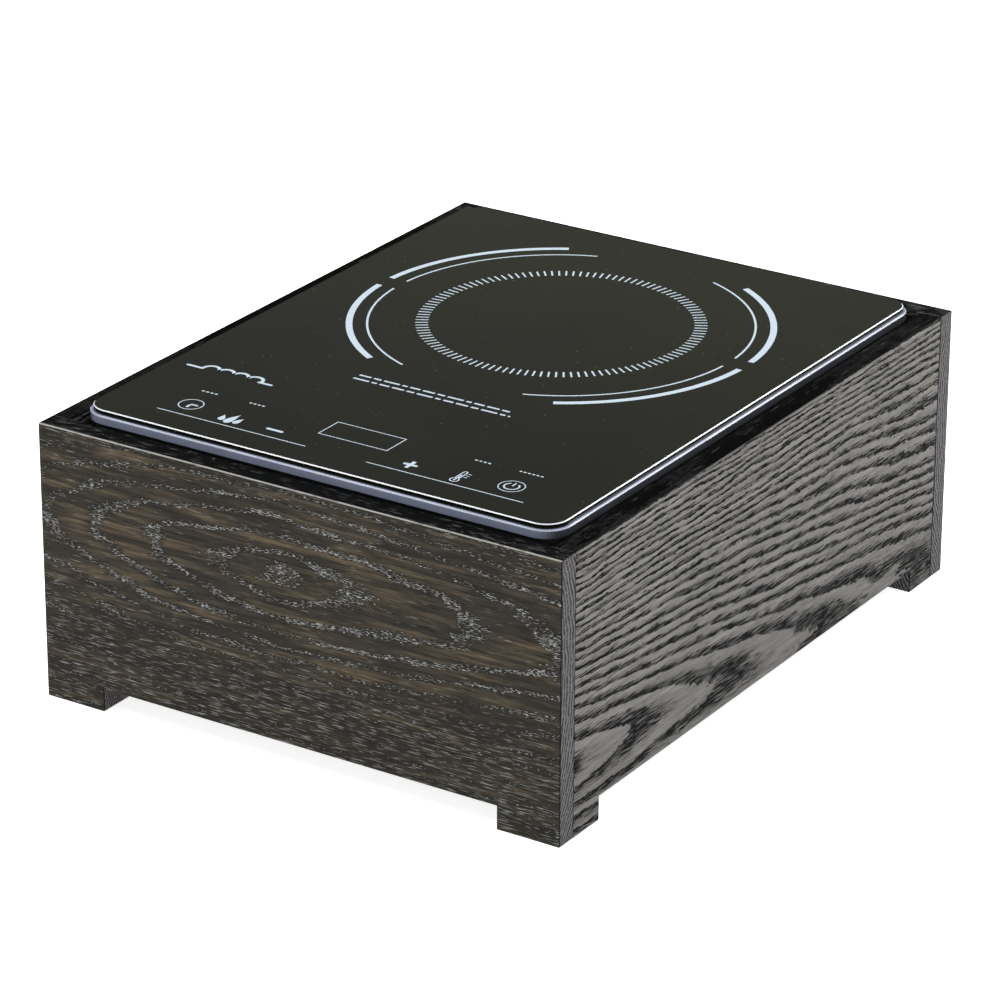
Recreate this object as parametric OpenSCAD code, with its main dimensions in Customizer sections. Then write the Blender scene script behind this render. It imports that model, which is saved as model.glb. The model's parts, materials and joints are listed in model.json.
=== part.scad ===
// Countertop induction hob that drops into an open oak surround.
// Origin: middle of the footprint, on the floor. +Z up, the control side faces -Y, right is +X.

/* [Surround] */
// Outer width of the wooden surround
surround_w = 317.5; // [316:0.5:340]
// Outer depth of the wooden surround
surround_d = 400; // [395:0.5:430]
// Height of the boards above the floor
surround_h = 155; // [145:0.5:190]
// Thickness of the boards
board_t = 12.7; // [10:0.1:13]
// Side of each square corner foot
foot_side = 37; // [32:0.5:45]
// Height of the gap under the boards, between the feet
notch_h = 13; // [8:0.5:20]
// Height of the rails that carry the hob
rail_h = 19; // [12:0.5:25]
// Diameter of the wood screws
wood_screw_d = 4; // [3:0.5:5]

/* [Hob case] */
// Width of the glass plate
glass_w = 286; // [280:0.5:287]
// Depth of the glass plate
glass_d = 364; // [350:0.5:366]
// Thickness of the glass plate
glass_t = 4; // [3:0.5:6]
// Radius of the glass corners
glass_r = 12.5; // [8:0.5:20]
// Width of the polished bevel around the glass
glass_bevel = 0.5; // [0.3:0.1:1.2]
// How far the glass stands above the surround
glass_rise = 7; // [5:0.1:12]
// How far the frame stands out past the glass
frame_lip = 1.75; // [1.5:0.05:2]
// Wall thickness of the plastic frame and case
wall = 2.5; // [2:0.1:3]
// Height of the hob from its feet to the glass
hob_h = 62; // [58:0.5:70]
// Height of the rubber feet
hob_foot_h = 6; // [4:0.5:8]

/* [Cooking zone] */
// Distance of the zone's centre behind the middle of the glass
zone_y = 52; // [48:1:54]
// Outer diameter of the induction coil
coil_d = 176; // [150:2:190]
// Inner diameter of the induction coil
coil_bore_d = 44; // [36:1:60]
// Turns of litz wire that are drawn as separate rings
coil_turns = 14; // [8:1:16]

/* [Fan] */
// Side of the square fan frame
fan_side = 92; // [80:1:92]
// Depth of the fan frame
fan_depth = 25; // [20:1:25]
// Blades on the rotor
fan_blades = 9; // [5:1:11]
// Diameter of the rotor shaft
shaft_d = 3; // [2:0.5:4]

/* [Hidden] */

$fn = 48;
fine = 96;
eps = 0.01;
fit = 0.25;

// Surround
half_w = surround_w / 2;
half_d = surround_d / 2;
inner_w = half_w - board_t;
inner_d = half_d - board_t;
post_side = foot_side - board_t;
glass_top_z = surround_h + glass_rise;
rail_top = glass_top_z - hob_h;
rail_z = rail_top - rail_h;
rail_w = post_side;
post_top = rail_z;
post_screw_low = 20;
post_screw_high = post_top - 14;
post_screw_z = [post_screw_low, (post_screw_low + post_screw_high) / 2 + 1, post_screw_high];
post_screw_side = post_side * 0.62;
post_screw_step = 5;
rail_screw_y = [-inner_d * 0.6, 0, inner_d * 0.6];
screw_cover = 3.2;
screw_bite = board_t - screw_cover;

// Case of the hob, from the glass down
glass_bottom = glass_top_z - glass_t;
seal_t = 0.8;
flange_top = glass_bottom - seal_t;
flange_t = 2.4;
glass_proud = 2.7;
lip_top = glass_top_z - glass_proud;
frame_w = glass_w + 2 * frame_lip;
frame_d = glass_d + 2 * frame_lip;
frame_r = glass_r + frame_lip;
frame_bottom = flange_top - flange_t;
rib_t = 2.2;
rib_h = 4;
glass_pocket = 0.3;
frame_edge = 0.6;
seal_w = 6;
flange_w = 9;
case_bottom = rail_top + hob_foot_h;
case_floor = case_bottom + wall;
case_w = frame_w - 2 * wall - 2 * fit;
case_d = frame_d - 2 * wall - 2 * fit;
case_r = frame_r - wall - fit;
case_top = frame_bottom;
case_edge = 2;
inside_w = case_w / 2 - wall;
inside_d = case_d / 2 - wall;
boss_inset = 6;
boss_x = inside_w - boss_inset;
boss_y = inside_d - boss_inset;
boss_d = 8;
boss_l = 10;
boss_z = case_top - boss_l;
boss_hole_d = 3;
boss_hole_l = 9;
case_screw_d = 2.9;
case_screw_head_d = 6;
case_screw_head_h = 2;
case_screw_sink = 4;
case_screw_hole_d = 3.4;
hob_foot_x = 131;
hob_foot_y = 145;
hob_foot_d = 16;
hob_stud_d = 5;
vent_pitch = 9;
vent_slot = 4;
end_vents = 15;
end_vent_l = 16;
end_vent_z = case_floor + 18;
side_vents = 19;
side_vent_l = 18;
side_vent_y = 20;
side_vent_z = case_floor + 16;

// Coil stack, hung under the glass
zone = [0, zone_y, 0];
mica_t = 0.5;
wire_t = 4;
former_t = 2.5;
ferrite_h = 5;
shield_t = 1.5;
wire_top = glass_bottom - mica_t - 0.3;
former_top = wire_top - wire_t;
former_d = coil_d + 12;
former_bottom = former_top - former_t;
ferrite_bottom = former_bottom - ferrite_h;
shield_bottom = ferrite_bottom - shield_t;
pillar_angles = [20, 110, 200, 290];
pillar_r = coil_d / 2 + 3;
pillar_d = 7;
coil_pitch = (coil_d - coil_bore_d) / 2 / coil_turns;

// Cooling: fan at the back left, air goes across the heatsink to the right
fan_x = -87;
fan_y = 118;
fan_z = case_floor + 0.5;
fan_hole = fan_side - 5;
fan_pitch = fan_side - 9.5;
hub_d = 36;
rotor_gap = 1.2;
rotor_r = fan_hole / 2 - rotor_gap;
strut_h = 3;
rotor_z = fan_z + strut_h + 1;
rotor_h = fan_depth - strut_h - 3;
cup_t = 1.5;
running = 0.03;
grille_d = 84;

// Air duct
duct_x0 = -128;
duct_x1 = 56;
duct_y0 = 27;
duct_y1 = 90;
duct_y2 = fan_y - fan_side / 2 - 1;
duct_t = 1.5;
duct_z1 = shield_bottom - 1.5;

// Power board
board_x0 = -16;
board_x1 = 128;
board_y0 = -58;
board_y1 = 106;
pillar_hole_d = 9;
pcb_t = 1.6;
pcb_z = case_floor + 6;
pcb_top = pcb_z + pcb_t;
board_screw_inset = 6;

// Control board, under the front of the glass
panel_y = -146;
panel_w = 236;
panel_d = 40;
touch_x = [-97, -69, -41, 41, 70, 98];
touch_y = panel_y - 7;
spring_d = 8;
control_top = glass_bottom - 6;
carrier_t = 2;
carrier_z = control_top - pcb_t - carrier_t;

// Mains inlet in the floor of the case, behind the board
gland_x = 92;
gland_y = 150;
gland_d = 14;
cord_d = 8;

// Colours
oak = [0.22, 0.21, 0.19];
pale_oak = [0.55, 0.45, 0.33];
frame_grey = [0.42, 0.44, 0.5];
case_black = [0.12, 0.12, 0.13];
pcb_green = [0.08, 0.32, 0.16];
steel = [0.7, 0.7, 0.72];
copper = [0.75, 0.42, 0.2];

// A rounded rectangle about the origin
module rounded_rect(w, d, r) {
  square([w - 2 * r, d], center = true);
  square([w, d - 2 * r], center = true);
  for (x = [-1, 1], y = [-1, 1])
    translate([x * (w / 2 - r), y * (d / 2 - r)])
      circle(r, $fn = fine);
}

// A ring between two rounded rectangles of the same centre
module rounded_ring(w, d, r, inset, h) {
  linear_extrude(h)
    difference() {
      rounded_rect(w, d, r);
      rounded_rect(w - 2 * inset, d - 2 * inset, max(r - inset, 1));
    }
}

// Half of a plate's section: x out to the edge, y up, with one bevelled edge at the top or bottom
function edge_section(x, h, bevel, up) = up
  ? [[0, 0], [x, 0], [x, h - bevel], [x - bevel, h], [0, h]]
  : [[0, 0], [x - bevel, 0], [x, bevel], [x, h], [0, h]];

// One bar of a plate, w wide along X with bevelled sides, l long along Y
module bevelled_bar(w, l, h, bevel, up) {
  for (side = [0, 1])
    mirror([side, 0, 0])
      translate([0, l / 2, 0])
        rotate([90, 0, 0])
          linear_extrude(l)
            polygon(edge_section(w / 2, h, bevel, up));
}

// A plate with round corners and a bevel all round its top or bottom edge
module bevelled_plate(w, d, r, h, bevel, up = true) {
  bevelled_bar(w, d - 2 * r, h, bevel, up);
  rotate(90)
    bevelled_bar(d, w - 2 * r, h, bevel, up);
  for (x = [-1, 1], y = [-1, 1])
    translate([x * (w / 2 - r), y * (d / 2 - r), 0])
      rotate_extrude($fn = fine)
        polygon(edge_section(r, h, bevel, up));
}

// A box given by its lowest corner and its size
module block(corner, size) {
  translate(corner)
    cube(size);
}

// A screw along +Z: shank from 0 to length, pan head below 0
module machine_screw(d, length, head_d, head_h) {
  translate([0, 0, -head_h / 4])
    cylinder(d = d, h = length + head_h / 4);
  translate([0, 0, -head_h])
    difference() {
      cylinder(d = head_d, h = head_h);
      for (a = [0, 90])
        rotate(a)
          cube([head_d * 0.6, d * 0.25, head_h], center = true);
    }
}

// A board L long along X, standing on two feet, with its outer face at y = 0
module notched_board(l, foot) {
  difference() {
    translate([-l / 2, 0, 0])
      cube([l, board_t, surround_h]);
    translate([-l / 2 + foot, -1, -1])
      cube([l - 2 * foot, board_t + 2, notch_h + 1]);
  }
}

// Shanks of the screws that go through a post into one board, drawn along -Y from the inner face
module post_screw_row(solid) {
  for (z = post_screw_z)
    translate([0, 0, z])
      rotate([90, 0, 0])
        wood_screw(post_side, solid);
}

// A countersunk wood screw along +Z, its head flush with the near face of the piece it holds
module wood_screw(thickness, solid) {
  r = wood_screw_d / 2;
  l = thickness + screw_bite;
  difference() {
    rotate_extrude()
      polygon([[0, 0], [2 * r, 0], [r, r], [r, solid ? l - 3 : l], [solid ? 0.3 : r, l], [0, l]]);
    if (solid)
      for (a = [0, 90])
        rotate(a)
          cube([1.6 * r, 0.9, 1.6], center = true);
  }
}

// Places children at the inner corner of post sx, sy, with +X and +Y pointing to the middle
module at_post(sx, sy) {
  mirror([sx > 0 ? 1 : 0, 0, 0])
    mirror([0, sy > 0 ? 1 : 0, 0])
      translate([-inner_w, -inner_d, 0])
        children();
}

// Every screw of one post: one column into the front or back board, one into the side board
module screws_of_post(solid) {
  translate([post_screw_side, post_side, 0])
    post_screw_row(solid);
  translate([post_side, post_screw_side, post_screw_step])
    rotate(-90)
      post_screw_row(solid);
}

module all_post_screws(solid) {
  for (sx = [-1, 1], sy = [-1, 1])
    at_post(sx, sy)
      screws_of_post(solid);
}

module all_rail_screws(solid) {
  for (side = [0, 1], y = rail_screw_y)
    mirror([side, 0, 0])
      translate([inner_w - rail_w, y, rail_z + rail_h / 2])
        rotate([0, 90, 0])
          wood_screw(rail_w, solid);
}

module cross_board(sy) {
  difference() {
    mirror([0, sy > 0 ? 1 : 0, 0])
      translate([0, -half_d, 0])
        notched_board(surround_w, foot_side);
    all_post_screws(false);
  }
}

module side_board(sx) {
  difference() {
    mirror([sx > 0 ? 1 : 0, 0, 0])
      translate([-half_w, 0, 0])
        rotate(-90)
          notched_board(2 * inner_d, foot_side - board_t);
    all_post_screws(false);
    all_rail_screws(false);
  }
}

module post(sx, sy) {
  color(pale_oak)
    difference() {
      at_post(sx, sy)
        cube([post_side, post_side, post_top]);
      all_post_screws(false);
    }
}

module rail(sx) {
  color(pale_oak)
    difference() {
      mirror([sx > 0 ? 1 : 0, 0, 0])
        translate([-inner_w, -inner_d, rail_z])
          cube([rail_w, 2 * inner_d, rail_h]);
      all_rail_screws(false);
    }
}

module front_board() { color(oak) cross_board(-1); }
module back_board() { color(oak) cross_board(1); }
module left_board() { color(oak) side_board(-1); }
module right_board() { color(oak) side_board(1); }
module post_front_left() { post(-1, -1); }
module post_front_right() { post(1, -1); }
module post_back_left() { post(-1, 1); }
module post_back_right() { post(1, 1); }
module left_rail() { rail(-1); }
module right_rail() { rail(1); }
module post_screws() { color(steel) all_post_screws(true); }
module rail_screws() { color(steel) all_rail_screws(true); }

module glass_top() {
  color([0.06, 0.07, 0.06])
    translate([0, 0, glass_bottom])
      bevelled_plate(glass_w, glass_d, glass_r, glass_t, glass_bevel);
}

module glass_seal() {
  color([0.1, 0.1, 0.1])
    translate([0, 0, flange_top])
      rounded_ring(glass_w - 1, glass_d - 1, glass_r - 0.5, seal_w, seal_t);
}

// The frame sits on the rim of the case, with a rib inside the rim and bosses for the screws
module top_frame() {
  color(frame_grey)
    difference() {
      union() {
        difference() {
          translate([0, 0, frame_bottom])
            bevelled_plate(frame_w, frame_d, frame_r, lip_top - frame_bottom, frame_edge);
          translate([0, 0, frame_bottom - eps])
            linear_extrude(flange_t + 1)
              rounded_rect(glass_w - 2 * flange_w, glass_d - 2 * flange_w, 4);
          translate([0, 0, flange_top])
            linear_extrude(glass_t)
              rounded_rect(glass_w + glass_pocket, glass_d + glass_pocket, glass_r + glass_pocket / 2);
        }
        translate([0, 0, frame_bottom - rib_h])
          rounded_ring(2 * (inside_w - fit), 2 * (inside_d - fit), case_r - wall - fit, rib_t, rib_h + eps);
        at_bosses()
          translate([0, 0, boss_z])
            cylinder(d = boss_d, h = boss_l + eps);
      }
      at_bosses()
        translate([0, 0, boss_z - eps])
          cylinder(d = boss_hole_d, h = boss_hole_l);
    }
}

// The screw positions that join the case to the frame
module at_bosses() {
  for (x = [-1, 1], y = [-1, 0, 1])
    translate([x * boss_x, y * boss_y, 0])
      children();
}

// A row of air slots, each l long, cut through a wall
module vent_row(count, l) {
  for (i = [0:count - 1])
    translate([(i - (count - 1) / 2) * vent_pitch, 0, 0])
      cube([vent_slot, l, 8 * wall], center = true);
}

module bottom_case() {
  color(case_black)
    difference() {
      union() {
        difference() {
          translate([0, 0, case_bottom])
            bevelled_plate(case_w, case_d, case_r, case_top - case_bottom, case_edge, false);
          translate([0, 0, case_floor])
            linear_extrude(case_top)
              rounded_rect(2 * inside_w, 2 * inside_d, case_r - wall);
        }
        at_bosses()
          translate([0, 0, case_floor - eps])
            cylinder(d = boss_d, h = boss_z - case_floor);
        board_standoffs();
        carrier_posts();
      }
      at_bosses() {
        translate([0, 0, case_bottom - eps])
          cylinder(d = case_screw_head_d + 0.5, h = case_screw_sink + 2 * eps);
        translate([0, 0, case_bottom])
          cylinder(d = case_screw_hole_d, h = case_top);
      }
      intake_grille();
      for (y = [-1, 1])
        translate([0, y * case_d / 2, end_vent_z])
          rotate([90, 0, 0])
            vent_row(end_vents, end_vent_l);
      translate([case_w / 2, side_vent_y, side_vent_z])
        rotate([90, 0, 90])
          vent_row(side_vents, side_vent_l);
      hob_foot_studs();
      translate([gland_x, gland_y, case_bottom - 1])
        cylinder(d = gland_d, h = wall + 2);
      at_board_screws()
        translate([0, 0, case_floor - eps])
          cylinder(d = 2.5, h = 12);
      at_carrier_posts()
        translate([0, 0, carrier_z - 10])
          cylinder(d = 2.5, h = 12);
      at_fan_screws()
        translate([0, 0, case_bottom - 1])
          cylinder(d = 3.4, h = wall + 2);
    }
}

// Arc slots of the air intake under the fan
module intake_grille() {
  translate([fan_x, fan_y, case_bottom - 1])
    linear_extrude(wall + 2)
      difference() {
        circle(d = grille_d, $fn = fine);
        for (d = [16, 30, 44, 58, 72])
          difference() {
            circle(d = d, $fn = fine);
            circle(d = d - 6, $fn = fine);
          }
        circle(d = 9);
        for (a = [0:45:135])
          rotate(a)
            square([grille_d + 2, 4], center = true);
      }
}

module hob_foot_studs() {
  for (x = [-1, 1], y = [-1, 1])
    translate([x * hob_foot_x, y * hob_foot_y, case_bottom - eps])
      cylinder(d = hob_stud_d, h = wall + 2 * eps);
}

module hob_feet() {
  color([0.08, 0.08, 0.08])
    for (x = [-1, 1], y = [-1, 1])
      translate([x * hob_foot_x, y * hob_foot_y, rail_top]) {
        rotate_extrude()
          polygon([[0, 0], [hob_foot_d / 2 - 1, 0], [hob_foot_d / 2, 1],
            [hob_foot_d / 2, hob_foot_h], [0, hob_foot_h]]);
        cylinder(d = hob_stud_d, h = hob_foot_h + wall);
      }
}

module case_screws() {
  color(steel)
    at_bosses()
      translate([0, 0, case_bottom + case_screw_sink])
        machine_screw(case_screw_d, case_top - case_bottom - 2 * case_screw_sink,
          case_screw_head_d, case_screw_head_h);
}

module mica_sheet() {
  color([0.72, 0.66, 0.5])
    translate([zone.x, zone.y, glass_bottom - mica_t])
      difference() {
        cylinder(d = coil_d + 6, h = mica_t, $fn = fine);
        translate([0, 0, -1])
          cylinder(d = 14, h = mica_t + 2);
      }
}

// Radius of the middle of one turn of the coil
function turn_r(i) = coil_bore_d / 2 + (i + 0.5) * coil_pitch;

module litz_coil() {
  color(copper)
    translate([zone.x, zone.y, former_top])
      difference() {
        cylinder(d = coil_d, h = wire_t, $fn = fine);
        translate([0, 0, -1])
          cylinder(d = coil_bore_d, h = wire_t + 2, $fn = fine);
        for (i = [0:coil_turns - 2])
          translate([0, 0, wire_t * 0.55])
            rotate_extrude($fn = fine)
              translate([turn_r(i) + coil_pitch / 2 - 0.4, 0])
                square([0.8, wire_t]);
      }
}

module coil_former() {
  color([0.85, 0.84, 0.78])
    translate([zone.x, zone.y, former_bottom])
      difference() {
        union() {
          difference() {
            cylinder(d = former_d, h = former_t, $fn = fine);
            for (i = [0:5])
              rotate(i * 60 + 30)
                translate([coil_d / 4 + 6, 0, -1])
                  cube([coil_d / 4, 6, 3 * former_t], center = true);
          }
          difference() {
            cylinder(d = former_d, h = former_t + wire_t - 0.5, $fn = fine);
            translate([0, 0, -1])
              cylinder(d = coil_d + 0.6, h = 20, $fn = fine);
          }
          cylinder(d = coil_bore_d - 0.6, h = former_t + 1);
        }
        translate([0, 0, -1])
          cylinder(d = 15, h = 20);
        at_pillars(-1)
          cylinder(d = 3.4, h = 20);
        at_pillars(former_t)
          cylinder(d = 6.4, h = 20);
      }
}

// Pillar positions around the coil, lifted to height z
module at_pillars(z) {
  for (a = pillar_angles)
    rotate(a)
      translate([pillar_r, 0, z])
        children();
}

module ferrite_bars() {
  color([0.25, 0.25, 0.27])
    translate([zone.x, zone.y, ferrite_bottom])
      for (i = [0:7])
        rotate(i * 45 + 22.5)
          translate([coil_bore_d / 2, -6, 0])
            cube([coil_d / 2 - coil_bore_d / 2 - 2, 12, ferrite_h]);
}

module shield_plate() {
  color([0.75, 0.76, 0.78])
    translate([zone.x, zone.y, shield_bottom])
      difference() {
        cylinder(d = former_d, h = shield_t, $fn = fine);
        translate([0, 0, -1])
          cylinder(d = 15, h = 5);
        at_pillars(-1)
          cylinder(d = 3.4, h = 5);
        for (i = [0:7])
          rotate(i * 45)
            translate([coil_d / 4 + 6, 0, 0])
              cube([coil_d / 4, 5, 10], center = true);
      }
}

// Pillars that carry the coil stack: they stand on the case floor, two of them through the power board
module coil_pillars() {
  color([0.8, 0.8, 0.76])
    translate([zone.x, zone.y, 0])
      difference() {
        at_pillars(case_floor)
          cylinder(d = pillar_d, h = shield_bottom - case_floor);
        at_pillars(shield_bottom - 8)
          cylinder(d = 2.6, h = 10);
      }
}

module coil_screws() {
  color(steel)
    translate([zone.x, zone.y, 0])
      at_pillars(former_top)
        mirror([0, 0, 1])
          machine_screw(2.6, former_top - shield_bottom + 5, 5, 1.8);
}

module sensor_holder() {
  color([0.9, 0.9, 0.88])
    translate([zone.x, zone.y, former_bottom])
      difference() {
        union() {
          cylinder(d = 14.6, h = former_t + wire_t - 0.6);
          translate([0, 0, -2])
            cylinder(d = 11, h = 3);
        }
        translate([0, 0, -3])
          cylinder(d = 7, h = 20);
      }
}

module temperature_sensor() {
  color([0.15, 0.15, 0.16])
    translate([zone.x, zone.y, former_bottom - 2]) {
      cylinder(d = 6.8, h = glass_bottom - former_bottom + 2);
      for (x = [-1.2, 1.2])
        translate([x, 0, -8])
          cylinder(d = 1.2, h = 8 + eps);
    }
}

// A wire of straight stretches from point to point, each carried half its width past the bend
module wire(points, d) {
  for (i = [0:len(points) - 2])
    let (v = points[i + 1] - points[i], l = norm(v), last = i == len(points) - 2)
      translate(points[i])
        rotate([0, acos(v.z / l), atan2(v.y, v.x)])
          cylinder(d = d, h = last ? l : l + d / 3);
}

module coil_leads() {
  color([0.7, 0.3, 0.2])
    for (i = [0, 1])
      wire([
        [zone.x + former_d / 2 + 2, zone.y + i * 8, former_bottom],
        [board_x1 - 7, zone.y + i * 8, former_bottom - 8],
        [board_x1 - 7, zone.y + i * 8, pcb_top]
      ], 3);
}

// Screw positions of the power board
module at_board_screws() {
  for (x = [board_x0 + board_screw_inset, board_x1 - board_screw_inset])
    for (y = [board_y0 + board_screw_inset, board_y1 - board_screw_inset])
      translate([x, y, 0])
        children();
}

module board_standoffs() {
  at_board_screws()
    translate([0, 0, case_floor - eps])
      cylinder(d = 7, h = pcb_z - case_floor + eps);
}

module power_board() {
  color(pcb_green)
    difference() {
      block([board_x0, board_y0, pcb_z], [board_x1 - board_x0, board_y1 - board_y0, pcb_t]);
      at_board_screws()
        translate([0, 0, pcb_z - 1])
          cylinder(d = 3.2, h = pcb_t + 2);
      translate([zone.x, zone.y, 0])
        at_pillars(pcb_z - 1)
          cylinder(d = pillar_hole_d, h = pcb_t + 2);
    }
}

module board_screws() {
  color(steel)
    at_board_screws()
      translate([0, 0, pcb_top])
        mirror([0, 0, 1])
          machine_screw(2.5, 7, 5.5, 2);
}

module heatsink() {
  color([0.72, 0.73, 0.75])
    translate([board_x0 + 8, 24, pcb_top]) {
      cube([62, 58, 4]);
      for (i = [0:9])
        translate([0, i * 6.2, 4 - eps])
          cube([62, 2.2, 20]);
    }
}

// A power transistor lying against the front face of the heatsink
module power_transistors() {
  color([0.1, 0.1, 0.1])
    for (x = [0, 22])
      translate([board_x0 + 14 + x, 18.8, pcb_top + 2]) {
        difference() {
          cube([16, 5, 20]);
          translate([8, -1, 15])
            rotate([-90, 0, 0])
              cylinder(d = 3.6, h = 8);
        }
        for (i = [-1, 0, 1])
          translate([8 + i * 5.4 - 0.6, 2, -2])
            cube([1.2, 0.6, 2 + eps]);
      }
}

module bridge_rectifier() {
  color([0.12, 0.12, 0.13])
    translate([board_x0 + 60, 18.5, pcb_top + 3]) {
      cube([22, 5, 16]);
      for (i = [0:3])
        translate([3 + i * 5, 2, -3])
          cube([1.2, 0.6, 3 + eps]);
    }
}

module resonant_capacitor() {
  color([0.75, 0.72, 0.6])
    block([board_x0 + 106, 4, pcb_top], [24, 42, 22]);
}

module filter_capacitor() {
  color([0.7, 0.68, 0.55])
    block([board_x0 + 76, -27, pcb_top], [26, 40, 22]);
}

module filter_choke() {
  color(copper)
    translate([board_x0 + 30, -10, pcb_top])
      difference() {
        cylinder(d = 36, h = 16);
        translate([0, 0, -1])
          cylinder(d = 15, h = 18);
        for (i = [0:17])
          rotate(i * 20)
            translate([18, 0, 8])
              cube([1.6, 1, 18], center = true);
      }
}

module transformer() {
  color([0.85, 0.75, 0.2])
    translate([board_x0 + 112, -32, pcb_top]) {
      cube([22, 24, 5]);
      translate([3, 3, 4])
        cube([16, 18, 11]);
      translate([0, 8, 4])
        cube([22, 8, 14]);
    }
}

module fuse() {
  color([0.85, 0.85, 0.82])
    translate([board_x0 + 80, -46, pcb_top + 4])
      rotate([0, 90, 0]) {
        cylinder(d = 5, h = 20);
        for (x = [-0.2, 15])
          translate([0, 0, x])
            cylinder(d = 5.6, h = 5.2);
        for (x = [1, 17])
          translate([0, -1, x])
            cube([4, 2, 1]);
      }
}

module terminal_block() {
  color([0.2, 0.35, 0.3])
    translate([board_x0 + 110, 80, pcb_top])
      difference() {
        cube([26, 12, 12]);
        for (x = [5, 13, 21])
          translate([x, 6, 4])
            cylinder(d = 4, h = 10);
      }
}

module buzzer() {
  color([0.1, 0.1, 0.1])
    translate([board_x0 + 26, 94, pcb_top])
      difference() {
        cylinder(d = 12, h = 9);
        translate([0, 0, 6])
          cylinder(d = 2, h = 5);
      }
}

// Posts and screw positions of the control board's carrier
module at_carrier_posts() {
  for (x = [-1, 1], y = [-1, 1])
    translate([x * (panel_w / 2 - 6), panel_y + y * (panel_d / 2 - 5), 0])
      children();
}

module carrier_posts() {
  at_carrier_posts()
    translate([0, 0, case_floor - eps])
      cylinder(d = 7, h = carrier_z - case_floor + eps);
}

module control_carrier() {
  color([0.85, 0.85, 0.82])
    difference() {
      union() {
        block([-panel_w / 2, panel_y - panel_d / 2, carrier_z], [panel_w, panel_d, carrier_t]);
        for (y = [-1, 1])
          translate([0, panel_y + y * (panel_d / 2 - 0.75), carrier_z + 2])
            cube([panel_w, 1.5, 4], center = true);
      }
      at_carrier_posts()
        translate([0, 0, carrier_z - 1])
          cylinder(d = 3, h = 10);
      for (x = [-1, 1])
        translate([x * 60, panel_y, carrier_z])
          cube([70, 20, 10], center = true);
    }
}

module control_board() {
  color(pcb_green)
    difference() {
      translate([0, panel_y, control_top - pcb_t / 2])
        cube([panel_w - 1, panel_d - 4, pcb_t], center = true);
      at_carrier_posts()
        translate([0, 0, control_top - 5])
          cylinder(d = 3, h = 10);
    }
}

// Each touch field's spring: a foot, rings of wire and a cap that presses on the glass
module touch_springs() {
  color(steel)
    for (x = touch_x)
      translate([x, touch_y, control_top]) {
        cylinder(d = 2, h = glass_bottom - control_top - 0.5 + eps);
        for (i = [0:3])
          translate([0, 0, i * 1.4])
            rotate_extrude()
              translate([spring_d / 2 - 3.05, 0])
                square([3, 0.8]);
        translate([0, 0, glass_bottom - control_top - 0.5])
          cylinder(d = spring_d + 2, h = 0.5);
      }
}

module led_display() {
  color([0.2, 0.02, 0.02])
    block([-20, panel_y + 0.5, control_top], [40, 16, 5.5]);
}

module indicator_leds() {
  color([0.9, 0.3, 0.25])
    for (x = touch_x)
      translate([x, touch_y + 12, control_top]) {
        cylinder(d = 3, h = 3.5);
        translate([0, 0, 3.5])
          sphere(d = 3);
      }
}

module ribbon_cable() {
  color([0.6, 0.6, 0.62])
    translate([2, 0, 0])
      rotate([90, 0, 90])
        linear_extrude(16)
          polygon([
            [panel_y + 6, carrier_z], [panel_y + 6, carrier_z - 8],
            [board_y0 + 8, pcb_top + 8], [board_y0 + 8, pcb_top],
            [board_y0 + 7, pcb_top], [board_y0 + 7, pcb_top + 7.4],
            [panel_y + 5, carrier_z - 8.7], [panel_y + 5, carrier_z]
          ]);
}

// Fan frame's screw positions
module at_fan_screws() {
  for (x = [-1, 1], y = [-1, 1])
    translate([fan_x + x * fan_pitch / 2, fan_y + y * fan_pitch / 2, 0])
      children();
}

module fan_frame() {
  color([0.13, 0.13, 0.14])
    difference() {
      union() {
        translate([fan_x, fan_y, fan_z])
          difference() {
            linear_extrude(fan_depth)
              rounded_rect(fan_side, fan_side, 5);
            translate([0, 0, -1])
              cylinder(d = fan_hole, h = fan_depth + 2, $fn = fine);
          }
        translate([fan_x, fan_y, fan_z]) {
          cylinder(d = hub_d - 4, h = strut_h);
          for (a = [45:90:315])
            rotate(a)
              translate([hub_d / 2 - 4, -2, 0])
                cube([fan_hole / 2 - hub_d / 2 + 5, 4, strut_h]);
          cylinder(d = shaft_d + 5, h = strut_h + 9);
        }
      }
      translate([fan_x, fan_y, fan_z - 1])
        cylinder(d = shaft_d + 3, h = strut_h + 20);
      at_fan_screws()
        translate([0, 0, fan_z - 1])
          cylinder(d = 3, h = 16);
    }
}

module fan_bearing() {
  color([0.72, 0.55, 0.25])
    translate([fan_x, fan_y, fan_z + 0.5])
      difference() {
        cylinder(d = shaft_d + 3, h = strut_h + 8);
        translate([0, 0, -1])
          cylinder(d = shaft_d + 2 * running, h = strut_h + 20);
      }
}

module fan_stator() {
  color(copper)
    translate([fan_x, fan_y, fan_z + strut_h + 0.5])
      difference() {
        cylinder(d = hub_d - 8, h = 8);
        translate([0, 0, -1])
          cylinder(d = shaft_d + 5, h = 20);
        for (i = [0:3])
          rotate(i * 90 + 45)
            translate([hub_d / 2 - 4, 0, 4])
              cube([8, 3, 20], center = true);
      }
}

module rotor_shaft() {
  color(steel)
    translate([fan_x, fan_y, fan_z + 1])
      cylinder(d = shaft_d, h = rotor_z + rotor_h - fan_z - 1 - cup_t);
}

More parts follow.
